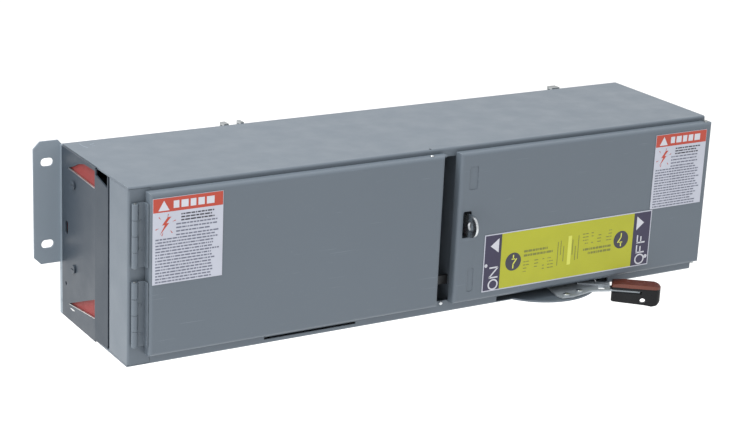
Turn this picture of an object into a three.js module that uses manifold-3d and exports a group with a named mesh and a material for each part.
// Fused disconnect switch: a long sheet-steel unit that hangs on a panel, with a hinged fuse door on
// the left, a hinged switch cover on the right and a lever that swings under the front edge.
// Millimetres. +X runs along the length, +Y to the back, +Z up.
import * as THREE from 'three';
import { mergeVertices } from 'three/addons/utils/BufferGeometryUtils.js';
import Module from 'manifold-3d';

const wasm = await Module();
wasm.setup();

// ---- driving dimensions: x from the left end, y from the front plane of the body, z from its floor
const LENGTH = 724;
const DEPTH = 170;
const HEIGHT = 188;
const SHEET = 2;
const GAP = 0.3;
const BEND = 2.5;                 // outer bend radius of the sheet work
const TOP_RAIL = 9.5;
const BOTTOM_RAIL = 14;

const COVER_PROUD = 13;           // how far the door and cover stand in front of the body
const COVER_LOW = 13;
const COVER_HIGH = 183;
const DOOR_LEFT = 18;
const DOOR_RIGHT = 359.3;
const COVER_LEFT = 379.5;
const COVER_RIGHT = 725.6;        // the cover overhangs the right end a little
const PAN_BEND = 4;               // outer bend radius of the door and the cover
const COVER_LIFT = 1.2;           // air between a cover's flanges and the body

const PARTITION = 383;            // left face of the wall between the two compartments
const JAMB_FRONT = 24;
const JAMB_SIDE = 45;

const HINGE = { x: 5.5, y: -4.6, r: 3.2, pin: 1.5, knuckles: 4 };
const HINGE_SPANS = { upper: [106.5, 172.5], lower: [23, 91.5] };

const ROTOR = { x: 528, y: 43 };  // upright axis of the handle and the moving contacts
const POLES = { a: 148, b: 94, c: 40 };
const HANDLE_OFF = -37;           // bearing of the lever from +X, switched off
const BLADE_OFF = 53;             // bearing of the moving blades, switched off
const BLADE_ON = -53;
const DISC = { r: 71.5, room: 72.7, low: -0.2, high: 1.8 };   // it turns in a round hole in the floor
const SHAFT_R = 5;
const RUNNING = 0.06;             // radial clearance of a turning fit

const FUSE = { y: 78, r: 17, left: 115, right: 315, blade: 22, cap: 20 };
const STRAP_BACK = 140;           // back face of the copper straps
const PIVOT = { x: 719.3, y: -7.5, r: 2 };

// ---- finishes
const FINISH = {
  paint: [0x7f8b95, 0.45, 0.1],
  darkPaint: [0x4b5560, 0.5, 0.1],
  zinc: [0xb9bfc4, 0.35, 0.9],
  steel: [0xc9ced2, 0.25, 1.0],
  copper: [0xb87446, 0.35, 1.0],
  aluminium: [0xc2c5c8, 0.4, 1.0],
  fibre: [0x7c2a26, 0.85, 0.0],
  moulding: [0x26282b, 0.6, 0.0],
  redGrip: [0x8a2c22, 0.4, 0.0],
  blackGrip: [0x1d1f22, 0.45, 0.0],
  fuseTube: [0xc9bfa2, 0.8, 0.0],
  caution: [0xe8e8e4, 0.5, 0.0],
  yellowLabel: [0xd6d23a, 0.5, 0.0],
};

// ---- making solids
function solidOf(geometry) {
  geometry.deleteAttribute('normal');
  geometry.deleteAttribute('uv');
  const merged = mergeVertices(geometry, 1e-4);
  return new wasm.Manifold(new wasm.Mesh({
    numProp: 3,
    vertProperties: new Float32Array(merged.attributes.position.array),
    triVerts: new Uint32Array(merged.index.array),
  }));
}

function box(x0, x1, y0, y1, z0, z1) {
  const geometry = new THREE.BoxGeometry(x1 - x0, y1 - y0, z1 - z0);
  geometry.translate((x0 + x1) / 2, (y0 + y1) / 2, (z0 + z1) / 2);
  return solidOf(geometry);
}

// Which world directions a drawn outline's two axes and its pull direction take.
const X = new THREE.Vector3(1, 0, 0);
const Y = new THREE.Vector3(0, 1, 0);
const Z = new THREE.Vector3(0, 0, 1);
const PULL = { x: [Y, Z, X], y: [Z, X, Y], z: [X, Y, Z] };

function pull(axis, outline, from, to, curveSegments = 5) {
  const shape = Array.isArray(outline)
    ? new THREE.Shape(outline.map(([u, v]) => new THREE.Vector2(u, v))) : outline;
  const geometry = new THREE.ExtrudeGeometry(shape, { depth: to - from, bevelEnabled: false, curveSegments });
  geometry.translate(0, 0, from);
  geometry.applyMatrix4(new THREE.Matrix4().makeBasis(...PULL[axis]));
  return solidOf(geometry);
}

function disc(axis, u, v, r, from, to, segments = 32) {
  const outline = [];
  for (let i = 0; i < segments; i += 1) {
    const turn = (i / segments) * 2 * Math.PI;
    outline.push([u + r * Math.cos(turn), v + r * Math.sin(turn)]);
  }
  return pull(axis, outline, from, to);
}

// Rectangle outline with one radius for each corner, counter-clockwise from the low-u low-v corner.
function roundedOutline(u0, u1, v0, v1, radii) {
  const [r0, r1, r2, r3] = radii;
  const shape = new THREE.Shape();
  shape.moveTo(u0 + r0, v0);
  shape.lineTo(u1 - r1, v0);
  if (r1) shape.absarc(u1 - r1, v0 + r1, r1, -Math.PI / 2, 0);
  shape.lineTo(u1, v1 - r2);
  if (r2) shape.absarc(u1 - r2, v1 - r2, r2, 0, Math.PI / 2);
  shape.lineTo(u0 + r3, v1);
  if (r3) shape.absarc(u0 + r3, v1 - r3, r3, Math.PI / 2, Math.PI);
  shape.lineTo(u0, v0 + r0);
  if (r0) shape.absarc(u0 + r0, v0 + r0, r0, Math.PI, 1.5 * Math.PI);
  return shape;
}

const even = (r) => [r, r, r, r];
const union = (...solids) => solids.reduce((whole, solid) => whole.add(solid));
const turned = (solid, degrees) => solid.rotate([0, 0, degrees]).translate([ROTOR.x, ROTOR.y, 0]);

const group = new THREE.Group();
group.name = 'fused_disconnect_switch';

function add(name, solid, finish) {
  const mesh = solid.getMesh();
  const geometry = new THREE.BufferGeometry();
  geometry.setAttribute('position', new THREE.BufferAttribute(new Float32Array(mesh.vertProperties), 3));
  geometry.setIndex(new THREE.BufferAttribute(new Uint32Array(mesh.triVerts), 1));
  geometry.translate(-LENGTH / 2, -DEPTH, -HEIGHT / 2);
  geometry.computeVertexNormals();
  const [color, roughness, metalness] = FINISH[finish];
  const piece = new THREE.Mesh(geometry, new THREE.MeshStandardMaterial({ color, roughness, metalness }));
  piece.name = name;
  group.add(piece);
}

// Pressed groove round the flat pad at the middle of the back wall, where the unit rests on its panel.
const PAD = { x: LENGTH / 2, z: HEIGHT / 2, wide: 120, high: 70, groove: 1.2, depth: 0.6 };
function restGroove() {
  const ring = (grow) => {
    const [wide, high] = [PAD.wide / 2 + grow, PAD.high / 2 + grow];
    return box(PAD.x - wide, PAD.x + wide, DEPTH - PAD.depth, DEPTH + 1, PAD.z - high, PAD.z + high);
  };
  return ring(PAD.groove).subtract(ring(0));
}

// ---- enclosure: top, back and floor folded from one sheet, with a rail along each front edge
const LINE_OPENING = { left: 582, right: 624, half: 13 };
const LATCH = { x: 348.8, y: 3.4, r: 1.6 };
const railSlot = (x0, x1, z0, z1) => box(x0, x1, -1, SHEET + 0.5, z0, z1);
function enclosure() {
  const outer = pull('x', roundedOutline(0, DEPTH, 0, HEIGHT, even(BEND)), GAP, LENGTH);
  const within = roundedOutline(SHEET, DEPTH - SHEET, SHEET, HEIGHT - SHEET, even(0.5));
  const inner = pull('x', within, -1, LENGTH + 1);
  const mouth = box(-1, LENGTH + 1, -1, SHEET + 0.5, BOTTOM_RAIL, HEIGHT - TOP_RAIL);
  const jambRoom = box(-1, JAMB_FRONT + GAP, -1, SHEET + 0.1, SHEET, HEIGHT - SHEET);
  const handleSlot = railSlot(446, 602, SHEET, 7.6);
  const drainSlot = railSlot(154, 264, 4.8, 7.4);
  const latchHole = disc('z', LATCH.x, LATCH.y, LATCH.r, HEIGHT - 4, HEIGHT + 1, 16);
  const discHole = disc('z', ROTOR.x, ROTOR.y, DISC.room, -1, SHEET + 1, 72);
  let body = outer.subtract(inner).subtract(mouth).subtract(jambRoom).subtract(handleSlot)
    .subtract(drainSlot).subtract(latchHole).subtract(discHole).subtract(restGroove());
  const { left, right, half } = LINE_OPENING;
  for (const z of Object.values(POLES)) {
    body = body.subtract(box(left, right, DEPTH - 3, DEPTH + 1, z - half, z + half));
  }
  add('enclosure', body, 'paint');
}

// Corner post at the left end: the side strip beside the cable gap and the leg the hinges sit on.
function frontJamb() {
  const z0 = SHEET + GAP;
  const z1 = HEIGHT - SHEET - GAP;
  const outer = pull('z', roundedOutline(GAP, JAMB_FRONT, 0, JAMB_SIDE, [BEND, 0, 0, 0]), z0, z1);
  const within = roundedOutline(GAP + SHEET, JAMB_FRONT + 1, SHEET, JAMB_SIDE + 1, [0.5, 0, 0, 0]);
  const hollow = pull('z', within, z0 - 1, z1 + 1);
  const lip = box(GAP, 9, JAMB_SIDE - SHEET, JAMB_SIDE, z0, z1);
  add('front_jamb', outer.subtract(hollow).add(lip), 'paint');
}

// End plate: a dark sheet over the left end with two cable windows cut in it and its front margin
// set inwards. A window's outline is given as depth and height.
const PLATE = { front: 76, back: 163.4, low: 0.5, high: 187.5, margin: 50.5, inset: 3 };
const SCREWS = { upper: 153.5, lower: 62 };
const SCREW_DEPTH = 131;
const WINDOWS = [
  [[PLATE.front + 1, 165.3], [PLATE.front + 1, 184], [104, 183.4], [119, 179.4], [134, 172.6],
    [146.5, 167.8]],
  [[146.5, 18], [144, 19.4], [PLATE.front + 1, 46.6], [PLATE.front + 1, 25.5]],
];
const END_SLOT = [147.5, 154.5, 94.3, 109.3];
const PILOT = { y: 153, z: 39, r: 2 };
function endPlate() {
  const sheet = box(-SHEET, 0, PLATE.front, PLATE.back, PLATE.low, PLATE.high);
  const slope = [[-SHEET, PLATE.front], [PLATE.inset - SHEET, PLATE.margin],
    [PLATE.inset, PLATE.margin], [0, PLATE.front]];
  const margin = pull('z', slope, SHEET + GAP, HEIGHT - SHEET - GAP);
  const slot = pull('x', roundedOutline(...END_SLOT, even(3.4)), -3, 1);
  const pilotHole = disc('x', PILOT.y, PILOT.z, PILOT.r, -3, 1, 20);
  const corner = [[52, 186], [52, 172], [PLATE.front - 1, 180], [PLATE.front - 1, 186]];
  const cornerHole = pull('x', corner, -3, 6);
  let plate = sheet.add(margin).subtract(slot).subtract(pilotHole).subtract(cornerHole);
  for (const outline of WINDOWS) plate = plate.subtract(pull('x', outline, -3, 1));
  for (const z of Object.values(SCREWS)) plate = plate.subtract(disc('x', SCREW_DEPTH, z, 2.3, -3, 1, 24));
  add('end_plate', plate, 'darkPaint');
}

const SCREW = { head: 4.6, tall: 1.6, shank: 2, reach: 9 };
function endPlateScrews() {
  const seat = -SHEET - GAP;
  for (const [name, z] of Object.entries(SCREWS)) {
    const head = disc('x', SCREW_DEPTH, z, SCREW.head, seat - SCREW.tall, seat);
    const shank = disc('x', SCREW_DEPTH, z, SCREW.shank, seat - 0.5, SCREW.reach, 24);
    const slot = box(seat - 3, seat - 0.9, SCREW_DEPTH - 4, SCREW_DEPTH + 4, z - 0.6, z + 0.6);
    add(`end_plate_screw_${name}`, head.add(shank).subtract(slot), 'darkPaint');
  }
}

// Mounting bracket: a full-height leg down the back corner with a slotted ear turned outwards.
const EAR = { left: -31.5, low: 58.3, high: 192.3, cut: 7.5, slotX: -16.5, slots: [169.6, 80] };
const EAR_SLOT = { tall: 4.5, wide: 6.8, corner: 4.4 };
function mountBracket() {
  const ear = pull('y', [
    [EAR.low, 0], [EAR.low, EAR.left + EAR.cut], [EAR.low + EAR.cut, EAR.left],
    [EAR.high - EAR.cut, EAR.left], [EAR.high, EAR.left + EAR.cut], [EAR.high, -4], [PLATE.high, 0],
  ], DEPTH - SHEET, DEPTH);
  const leg = box(-SHEET, 0, PLATE.back + GAP, DEPTH, PLATE.low, PLATE.high);
  let bracket = ear.add(leg);
  for (const z of EAR.slots) {
    const { tall, wide, corner } = EAR_SLOT;
    const outline = roundedOutline(z - tall, z + tall, EAR.slotX - wide, EAR.slotX + wide, even(corner));
    bracket = bracket.subtract(pull('y', outline, DEPTH - 4, DEPTH + 2));
  }
  add('mount_bracket', bracket, 'paint');
}

// Right end: a plain plate inside the folded body with two round knock-outs.
const KNOCKOUT = { places: [[60, 94], [118, 94]], outer: 22, inner: 20.8, deep: 0.8 };
const INSIDE = { y: [SHEET + GAP, DEPTH - SHEET - GAP], z: [SHEET + GAP, HEIGHT - SHEET - GAP] };
function rightEnd() {
  const [left, face] = [LENGTH - 2 * SHEET, LENGTH - SHEET];
  let plate = box(left, face, ...INSIDE.y, ...INSIDE.z);
  for (const [y, z] of KNOCKOUT.places) {
    const groove = disc('x', y, z, KNOCKOUT.outer, face - KNOCKOUT.deep, LENGTH);
    plate = plate.subtract(groove.subtract(disc('x', y, z, KNOCKOUT.inner, left - 1, LENGTH + 1)));
  }
  add('right_end_plate', plate, 'paint');
}

// Wall between the compartments, with windows for the straps and the interlock bar.
const BAR = { y0: 8, y1: 11, z0: 30, z1: 40, left: 355, right: 462 };
function partition() {
  const web = box(PARTITION, PARTITION + SHEET, ...INSIDE.y, ...INSIDE.z);
  const flange = box(PARTITION, PARTITION + 20, 0, SHEET + 0.4, BOTTOM_RAIL + GAP, HEIGHT - TOP_RAIL - GAP);
  let wall = web.add(flange);
  for (const z of Object.values(POLES)) {
    wall = wall.subtract(box(PARTITION - 1, PARTITION + 3, STRAP_BACK - 12, STRAP_BACK + 6, z - 14, z + 14));
  }
  wall = wall.subtract(box(PARTITION - 1, PARTITION + 3, BAR.y0 - 1, BAR.y1 + 1, BAR.z0 - 1, BAR.z1 + 1));
  add('partition', wall, 'paint');
}

// Red fibre sheet behind the end plate's windows; it is slit where cables are brought out.
const FIBRE = { front: 78.5, thick: 1.5 };
function fibreLiner() {
  const sheet = box(GAP, GAP + FIBRE.thick, FIBRE.front, INSIDE.y[1], ...INSIDE.z);
  const [y0, y1, z0, z1] = END_SLOT;
  const slotRoom = box(-1, 5, y0 - 2, y1 + 2, z0 - 2, z1 + 2);
  let liner = sheet.subtract(slotRoom).subtract(disc('x', PILOT.y, PILOT.z, PILOT.r + 1, -1, 5, 20));
  for (const z of Object.values(SCREWS)) liner = liner.subtract(disc('x', SCREW_DEPTH, z, 3, -1, 5, 20));
  add('fibre_liner', liner, 'fibre');
}

// ---- door and cover: shallow pans folded from sheet, face forward
function pan(x0, x1) {
  const y0 = -COVER_PROUD;
  const y1 = -COVER_LIFT;
  const across = (inset, r) => pull('x', roundedOutline(y0 + inset, y1 + inset, COVER_LOW + inset,
    COVER_HIGH - inset, [r, 0, 0, r]), x0 - 1, x1 + 1);
  const upright = (inset, r) => pull('z', roundedOutline(x0 + inset, x1 - inset, y0 + inset,
    y1 + inset, [r, r, 0, 0]), COVER_LOW - 1, COVER_HIGH + 1);
  const outer = across(0, PAN_BEND).intersect(upright(0, PAN_BEND));
  const inner = across(SHEET, PAN_BEND - SHEET).intersect(upright(SHEET, PAN_BEND - SHEET));
  return outer.subtract(inner);
}

function fuseDoor() {
  const wrap = box(DOOR_RIGHT - 1, DOOR_RIGHT + 3.6, -COVER_PROUD + PAN_BEND, -COVER_LIFT,
    COVER_HIGH - SHEET, COVER_HIGH);
  add('fuse_door', pan(DOOR_LEFT, DOOR_RIGHT).add(wrap), 'paint');
}

const HASP = { x: 391, z: 103.5, r: 12.5, reach: 33.4 };
const COVER_GROOVES = [[142, 168, 391, 402], [25, 52, 395.5, 403.5]];
const RELIEF = { tall: 8, x: COVER_RIGHT - SHEET - 0.5, y: -COVER_PROUD + BEND + 0.5, end: 730 };
function switchCover() {
  const hingeRelief = box(PIVOT.x - 1.7, RELIEF.end, -4.8, 5, 0, HEIGHT);
  const [low, high] = [COVER_LOW + SHEET, COVER_HIGH - SHEET];
  const highRelief = box(RELIEF.x, RELIEF.end, RELIEF.y, 5, high - RELIEF.tall, high);
  const lowRelief = box(RELIEF.x, RELIEF.end, RELIEF.y, 5, low, low + RELIEF.tall);
  const pinHoles = disc('z', PIVOT.x, PIVOT.y, PIVOT.r + RUNNING, 0, HEIGHT, 24);
  const slot = roundedOutline(HASP.z - 15.5, HASP.z + 14.5, HASP.x - 5.5, HASP.x + 5.5, even(2));
  const haspSlot = pull('y', slot, -COVER_PROUD - 2, -COVER_PROUD + 4);
  let cover = pan(COVER_LEFT, COVER_RIGHT).subtract(hingeRelief).subtract(highRelief).subtract(lowRelief)
    .subtract(pinHoles).subtract(haspSlot);
  for (const [z0, z1, x0, x1] of COVER_GROOVES) {
    const groove = pull('y', roundedOutline(z0, z1, x0, x1, even(2.5)), -COVER_PROUD - 1, -COVER_PROUD + 0.7);
    cover = cover.subtract(groove);
  }
  add('switch_cover', cover, 'paint');
}

// Two small angle brackets under the cover's right corners; each carries an upright pivot pin.
function pivotBrackets() {
  const places = { upper: [176.5, 179.5, 179, 185], lower: [16.5, 19.5, 11, 17] };
  for (const [name, [z0, z1, pin0, pin1]] of Object.entries(places)) {
    const arm = box(PIVOT.x - 2.2, PIVOT.x + 2.2, PIVOT.y - 2.4, -GAP, z0, z1);
    const pin = disc('z', PIVOT.x, PIVOT.y, PIVOT.r, pin0, pin1, 24);
    add(`cover_pivot_${name}`, arm.add(pin), 'zinc');
  }
}

// Padlock hasp: a rounded steel tab that stands out through the cover's slot.
function padlockHasp() {
  const shape = new THREE.Shape();
  shape.moveTo(-1.6, HASP.z - HASP.r);
  shape.lineTo(-1.6, HASP.z + HASP.r);
  shape.lineTo(HASP.r - HASP.reach, HASP.z + HASP.r);
  shape.absarc(HASP.r - HASP.reach, HASP.z, HASP.r, Math.PI / 2, 1.5 * Math.PI);
  const tab = pull('x', shape, HASP.x - 1.3, HASP.x + 1.3, 16);
  const foot = box(HASP.x - 5.5, HASP.x + 5.5, -1.8, -GAP, HASP.z - 16, HASP.z + 16);
  const eye = disc('x', HASP.r - HASP.reach - 1, HASP.z, 5, HASP.x - 4, HASP.x + 4);
  add('padlock_hasp', tab.add(foot).subtract(eye), 'steel');
}

// ---- door hinges: two butt hinges with four knuckles each
function hinges() {
  for (const [name, [low, high]] of Object.entries(HINGE_SPANS)) {
    const step = (high - low) / HINGE.knuckles;
    const bore = disc('z', HINGE.x, HINGE.y, HINGE.pin + RUNNING, low - 1, high + 1, 20);
    const fixed = { leaf: box(HINGE.x, 16, -2, -0.4, low, high) };
    const moving = { leaf: box(HINGE.x, 16.3, -3.9, -2.4, low, high) };
    moving.leaf = moving.leaf.add(box(14.8, 17.7, -10.3, -2.4, low, high));
    moving.leaf = moving.leaf.subtract(box(0, 16.2, -12, -3.9, low - 1, high + 1));
    for (let i = 0; i < HINGE.knuckles; i += 1) {
      const z0 = low + i * step;
      const room = box(0, 9.6, -12, 0, z0 - 0.2, z0 + step + 0.2);
      const [own, other] = i % 2 ? [fixed, moving] : [moving, fixed];
      own.leaf = own.leaf.add(disc('z', HINGE.x, HINGE.y, HINGE.r, z0 + 0.2, z0 + step - 0.2, 20));
      other.leaf = other.leaf.subtract(room);
    }
    add(`hinge_leaf_fixed_${name}`, fixed.leaf.subtract(bore), 'paint');
    add(`hinge_leaf_moving_${name}`, moving.leaf.subtract(bore), 'paint');
    add(`hinge_pin_${name}`, disc('z', HINGE.x, HINGE.y, HINGE.pin, low - 0.6, high + 0.6, 20), 'zinc');
  }
}

// Tongue on the back of the door that the interlock bar enters when the switch is on.
function doorCatch() {
  const foot = box(334, 350.4, -COVER_PROUD + SHEET + GAP, -9, 24, 46);
  const tongue = box(348, 350.4, -COVER_PROUD + SHEET + GAP, 20, 24, 46);
  const eye = box(346, 352, BAR.y0 - 2, BAR.y1 + 2, BAR.z0 - 2, BAR.z1 + 2);
  add('door_catch', foot.add(tongue).subtract(eye), 'zinc');
}

function interlockBar() {
  const bar = box(BAR.left, BAR.right, BAR.y0, BAR.y1, BAR.z0, BAR.z1);
  const follower = disc('z', BAR.right - 6, (BAR.y0 + BAR.y1) / 2, 3, 9, BAR.z1, 20);
  const pad = box(BAR.right - 14, BAR.right, BAR.y0 - 2, BAR.y1 + 2, BAR.z0 - 3, BAR.z0 + 1);
  add('interlock_bar', union(bar, pad, follower), 'zinc');
}

// ---- labels
function labels() {
  const front = -COVER_PROUD - GAP;
  const plates = {
    caution_label_left: [20.2, 96.6, 89, 178, 'caution'],
    caution_label_right: [643.3, 717.3, 88.3, 176.3, 'caution'],
    operating_label: [415.5, 647, 21.6, 87.6, 'yellowLabel'],
  };
  for (const [name, [x0, x1, z0, z1, finish]] of Object.entries(plates)) {
    add(name, box(x0, x1, front - 0.3, front, z0, z1), finish);
  }
}

// ---- switch: an upright rotor carries three flat copper blades between pairs of jaws
const BLADE = { reach: 42, half: 10, thick: 4 };
const JAW = { near: 30, far: 47, web: 2, leaf: 2 };
const DRUM = { r: 13, low: 10, high: 172 };
function rotor() {
  const bore = disc('z', 0, 0, SHAFT_R + GAP, 0, HEIGHT, 48);
  let drum = disc('z', 0, 0, DRUM.r, DRUM.low, DRUM.high, 40).subtract(bore);
  for (const [name, z] of Object.entries(POLES)) {
    const [wide, tall] = [BLADE.half + GAP, BLADE.thick / 2 + GAP];
    const room = box(-DRUM.r - 5, DRUM.r + 5, -wide, wide, z - tall, z + tall);
    drum = drum.subtract(room.rotate([0, 0, BLADE_OFF]));
    const blade = pull('z', roundedOutline(-BLADE.reach, BLADE.reach, -BLADE.half, BLADE.half, even(4)),
      z - BLADE.thick / 2, z + BLADE.thick / 2).subtract(bore);
    add(`blade_${name}`, turned(blade, BLADE_OFF), 'copper');
  }
  add('rotor', turned(drum, 0), 'moulding');
  const shaft = union(disc('z', 0, 0, SHAFT_R, -3, 182, 48), disc('z', 0, 0, 8.5, -5.6, -0.6, 6));
  add('handle_shaft', turned(shaft, 0), 'zinc');
}

function jaw(z, bearing) {
  const inner = BLADE.thick / 2 + GAP;
  const outer = inner + JAW.leaf;
  const upper = box(JAW.near, JAW.far + JAW.web, -9, 9, z + inner, z + outer);
  const lower = box(JAW.near, JAW.far + JAW.web, -9, 9, z - outer, z - inner);
  const web = box(JAW.far, JAW.far + JAW.web, -9, 9, z - outer, z + outer);
  return turned(union(upper, lower, web), bearing);
}

function springClip(x0, x1, z) {
  const back = box(x0, x1, 92, 95, z - 4.3, z + 4.3);
  const upper = box(x0, x1, 69, 94, z + 1.8, z + 3.8);
  const lower = box(x0, x1, 69, 94, z - 3.8, z - 1.8);
  const post = box(x0, x1, 94, STRAP_BACK - 1, z - 1.5, z + 1.5);
  return union(back, upper, lower, post);
}

function conductors() {
  let block = box(584, 622, DEPTH - 16, DEPTH - SHEET - GAP, POLES.c - 11, POLES.a + 11);
  for (const [name, z] of Object.entries(POLES)) {
    const loadJaw = jaw(z, BLADE_ON + 180);
    const loadPost = box(ROTOR.x - 40, ROTOR.x - 24, ROTOR.y + 40, STRAP_BACK, z - 4.3, z + 4.3)
      .subtract(turned(disc('z', 0, 0, JAW.far + 0.5, z - 6, z + 6, 32), 0));
    const loadBar = box(294, ROTOR.x - 24, STRAP_BACK - 3, STRAP_BACK, z - 9, z + 9);
    add(`fuse_strap_${name}`, union(loadJaw, loadPost, loadBar, springClip(294, 312, z)), 'copper');

    const lineJaw = jaw(z, BLADE_ON);
    const lineArm = box(552, 612, -3, 14, z - 1.5, z + 1.5)
      .subtract(turned(disc('z', 0, 0, JAW.far + 0.5, z - 6, z + 6, 32), 0));
    const lineBar = box(594, 612, -3, DEPTH + 22, z - 1.5, z + 1.5);
    add(`line_strap_${name}`, union(lineJaw, lineArm, lineBar), 'copper');
    block = block.add(box(584, 622, DEPTH - 16, DEPTH + 7, z - 11, z + 11))
      .subtract(box(592, 614, DEPTH - 20, DEPTH + 10, z - 1.9, z + 1.9));

    const lugBar = box(62, 136, STRAP_BACK - 3, STRAP_BACK, z - 9, z + 9);
    add(`load_clip_${name}`, lugBar.add(springClip(118, 136, z)), 'copper');
    const lug = box(62, 96, 108, STRAP_BACK - 3 - GAP, z - 12, z + 12)
      .subtract(disc('x', 125, z, 8, 50, 110))
      .subtract(disc('y', z, 79, 6, 100, 125));
    add(`lug_${name}`, lug, 'aluminium');
    const screw = disc('y', z, 79, 5.7, 105, 119).subtract(disc('y', z, 79, 2.8, 104, 111, 6));
    add(`lug_screw_${name}`, screw, 'steel');
  }
  add('line_block', block, 'moulding');
}

// ---- fuses: tube, two ferrules and two knife blades each
function fuses() {
  const capLeft = FUSE.left + FUSE.blade;
  const capRight = FUSE.right - FUSE.blade;
  for (const [name, z] of Object.entries(POLES)) {
    const knives = box(FUSE.left, FUSE.right, FUSE.y - 10, FUSE.y + 10, z - 1.5, z + 1.5);
    const tube = disc('x', FUSE.y, z, FUSE.r, capLeft + 3, capRight - 3, 32);
    const caps = [capLeft, capRight - FUSE.cap]
      .map((x) => disc('x', FUSE.y, z, FUSE.r + 1.3, x, x + FUSE.cap, 32));
    add(`fuse_${name}`, union(tube, knives, ...caps), 'fuseTube');
  }
}

// ---- insulating bases behind the live parts and fibre sheets between the poles
function bases() {
  const back = DEPTH - SHEET - GAP;
  add('fuse_base', box(64, 350, STRAP_BACK + GAP, back, 12, 176), 'moulding');
  const screens = [67, 121];
  screens.forEach((z, i) => {
    add(`phase_screen_${i + 1}`, box(100, 350, 44, STRAP_BACK - 0.4, z - 0.8, z + 0.8), 'fibre');
  });
  const carrier = box(400, 575, STRAP_BACK + GAP, back, 12, 176);
  add('switch_base', carrier, 'moulding');
}

// Bearings of the rotor: a C-shaped steel bracket standing on the switch base, one arm above and one below.
const BRACKET = { half: 18, front: 26, low: 6.8, high: 176.5, thick: 2.5 };
function rotorBracket() {
  const { half, front, low, high, thick } = BRACKET;
  const [x0, x1] = [ROTOR.x - half, ROTOR.x + half];
  const arms = [high - thick, low].map((z) => box(x0, x1, front, STRAP_BACK, z, z + thick));
  const back = box(x0, x1, STRAP_BACK - thick, STRAP_BACK, low, high);
  const bore = disc('z', ROTOR.x, ROTOR.y, SHAFT_R + RUNNING, 0, 180, 48);
  add('rotor_bracket', union(back, ...arms).subtract(bore), 'zinc');
}

// ---- handle: a disc flush with the floor, a fan-shaped arm riveted on it and a grip in three layers.
// Outlines are drawn along the lever: the first number runs out from the pivot, the second to its far side.
const ARM = { low: 2.3, high: 4.3, rib: 6.2, end: 87, tangLow: -3.2, tangHigh: -0.7, tangEnd: 122 };
const GRIP = { near: 89.5, far: 145.5, half: 9.3, split: 124 };
const RIVETS = [[37.9, -52], [52.3, -37]];
const FAN = [[12, -2], [10, -14], [27, -54], [34, -60], [46, -53], [58, -40], [65, -31], [73, -27.5],
  [ARM.end, -24], [ARM.end, 6], [ARM.end - 2.5, 6], [78, -3]];
const CAP_SIDE = [[88, 2.6], [88, 5], [92, 6.3], [104, 7.3], [138, 7], [143, 5.8], [147, 3.2], [147, 2.6]];
const KEEL_SIDE = [[88, 2.3], [88, -13], [91, -14.6], [102, -15.2], [127, -16.4], [136, -17.5],
  [142, -16], [146, -11.5], [147, 2.3]];
function handle() {
  const plate = disc('z', 0, 0, DISC.r, DISC.low, DISC.high, 72)
    .subtract(disc('z', 0, 0, SHAFT_R + GAP, -2, 10, 48));
  add('handle_disc', turned(plate, HANDLE_OFF), 'paint');

  const fan = pull('z', FAN, ARM.low, ARM.high);
  const rib = box(50, ARM.end, -13, -4, ARM.high - 1, ARM.rib);
  const drop = box(ARM.end - 2.5, ARM.end, -8.5, 6, ARM.tangLow, ARM.high);
  const tang = box(ARM.end - 2.5, ARM.tangEnd, -7, 6, ARM.tangLow, ARM.tangHigh);
  const eye = box(74, 81, -22.5, -15, 0, 10);
  const rivets = RIVETS.map(([u, v]) => disc('z', u, v, 4, ARM.high - 1, ARM.high + 1.4, 24));
  add('handle_arm', turned(union(fan, rib, drop, tang, ...rivets).subtract(eye), HANDLE_OFF), 'steel');

  const plan = roundedOutline(GRIP.near, GRIP.far, -GRIP.half, GRIP.half, [2.5, 8, 8, 2.5]);
  const side = (outline) => pull('y', outline.map(([u, z]) => [z, u]), -20, 20);
  add('grip_cap', turned(pull('z', plan, 2, 8).intersect(side(CAP_SIDE)), HANDLE_OFF), 'redGrip');
  const slit = box(80, GRIP.split, -20, 20, ARM.tangLow - GAP, ARM.tangHigh + GAP);
  const hollow = box(80, 141, -GRIP.half + 5.4, 20, -30, -6.4);
  const hole = disc('y', -11.4, 125.5, 3.2, -20, 20, 24);
  const keel = pull('z', plan, -20, 2.3).intersect(side(KEEL_SIDE));
  const body = keel.subtract(slit).subtract(hollow).subtract(hole);
  add('grip_keel', turned(body, HANDLE_OFF), 'blackGrip');
}

// ---- hooks on the back that hang the unit on its panel: prongs turned back and down
const HOOK = { thick: 2.5, low: 130, high: 188.7, lip: 175, throat: 5.2 };
function hangHooks() {
  const places = { left: [[189, 195], [209.5, 213.5]], right: [[630, 641]] };
  const y0 = DEPTH + GAP;
  const y1 = y0 + HOOK.thick + HOOK.throat;
  for (const [name, prongs] of Object.entries(places)) {
    const [x0, x1] = [prongs[0][0] - 4, prongs[prongs.length - 1][1] + 4];
    let hook = box(x0, x1, y0, y0 + HOOK.thick, HOOK.low, 172);
    for (const [a, b] of prongs) {
      hook = union(hook, box(a, b, y0, y0 + HOOK.thick, 160, HOOK.high),
        box(a, b, y0, y1 + HOOK.thick, HOOK.high - HOOK.thick, HOOK.high),
        box(a, b, y1, y1 + HOOK.thick, HOOK.lip, HOOK.high));
    }
    add(`hang_hook_${name}`, hook, 'zinc');
  }
}

enclosure();
frontJamb();
endPlate();
endPlateScrews();
mountBracket();
rightEnd();
partition();
fibreLiner();
fuseDoor();
switchCover();
pivotBrackets();
padlockHasp();
hinges();
doorCatch();
interlockBar();
labels();
rotor();
conductors();
fuses();
bases();
rotorBracket();
handle();
hangHooks();

export default group;
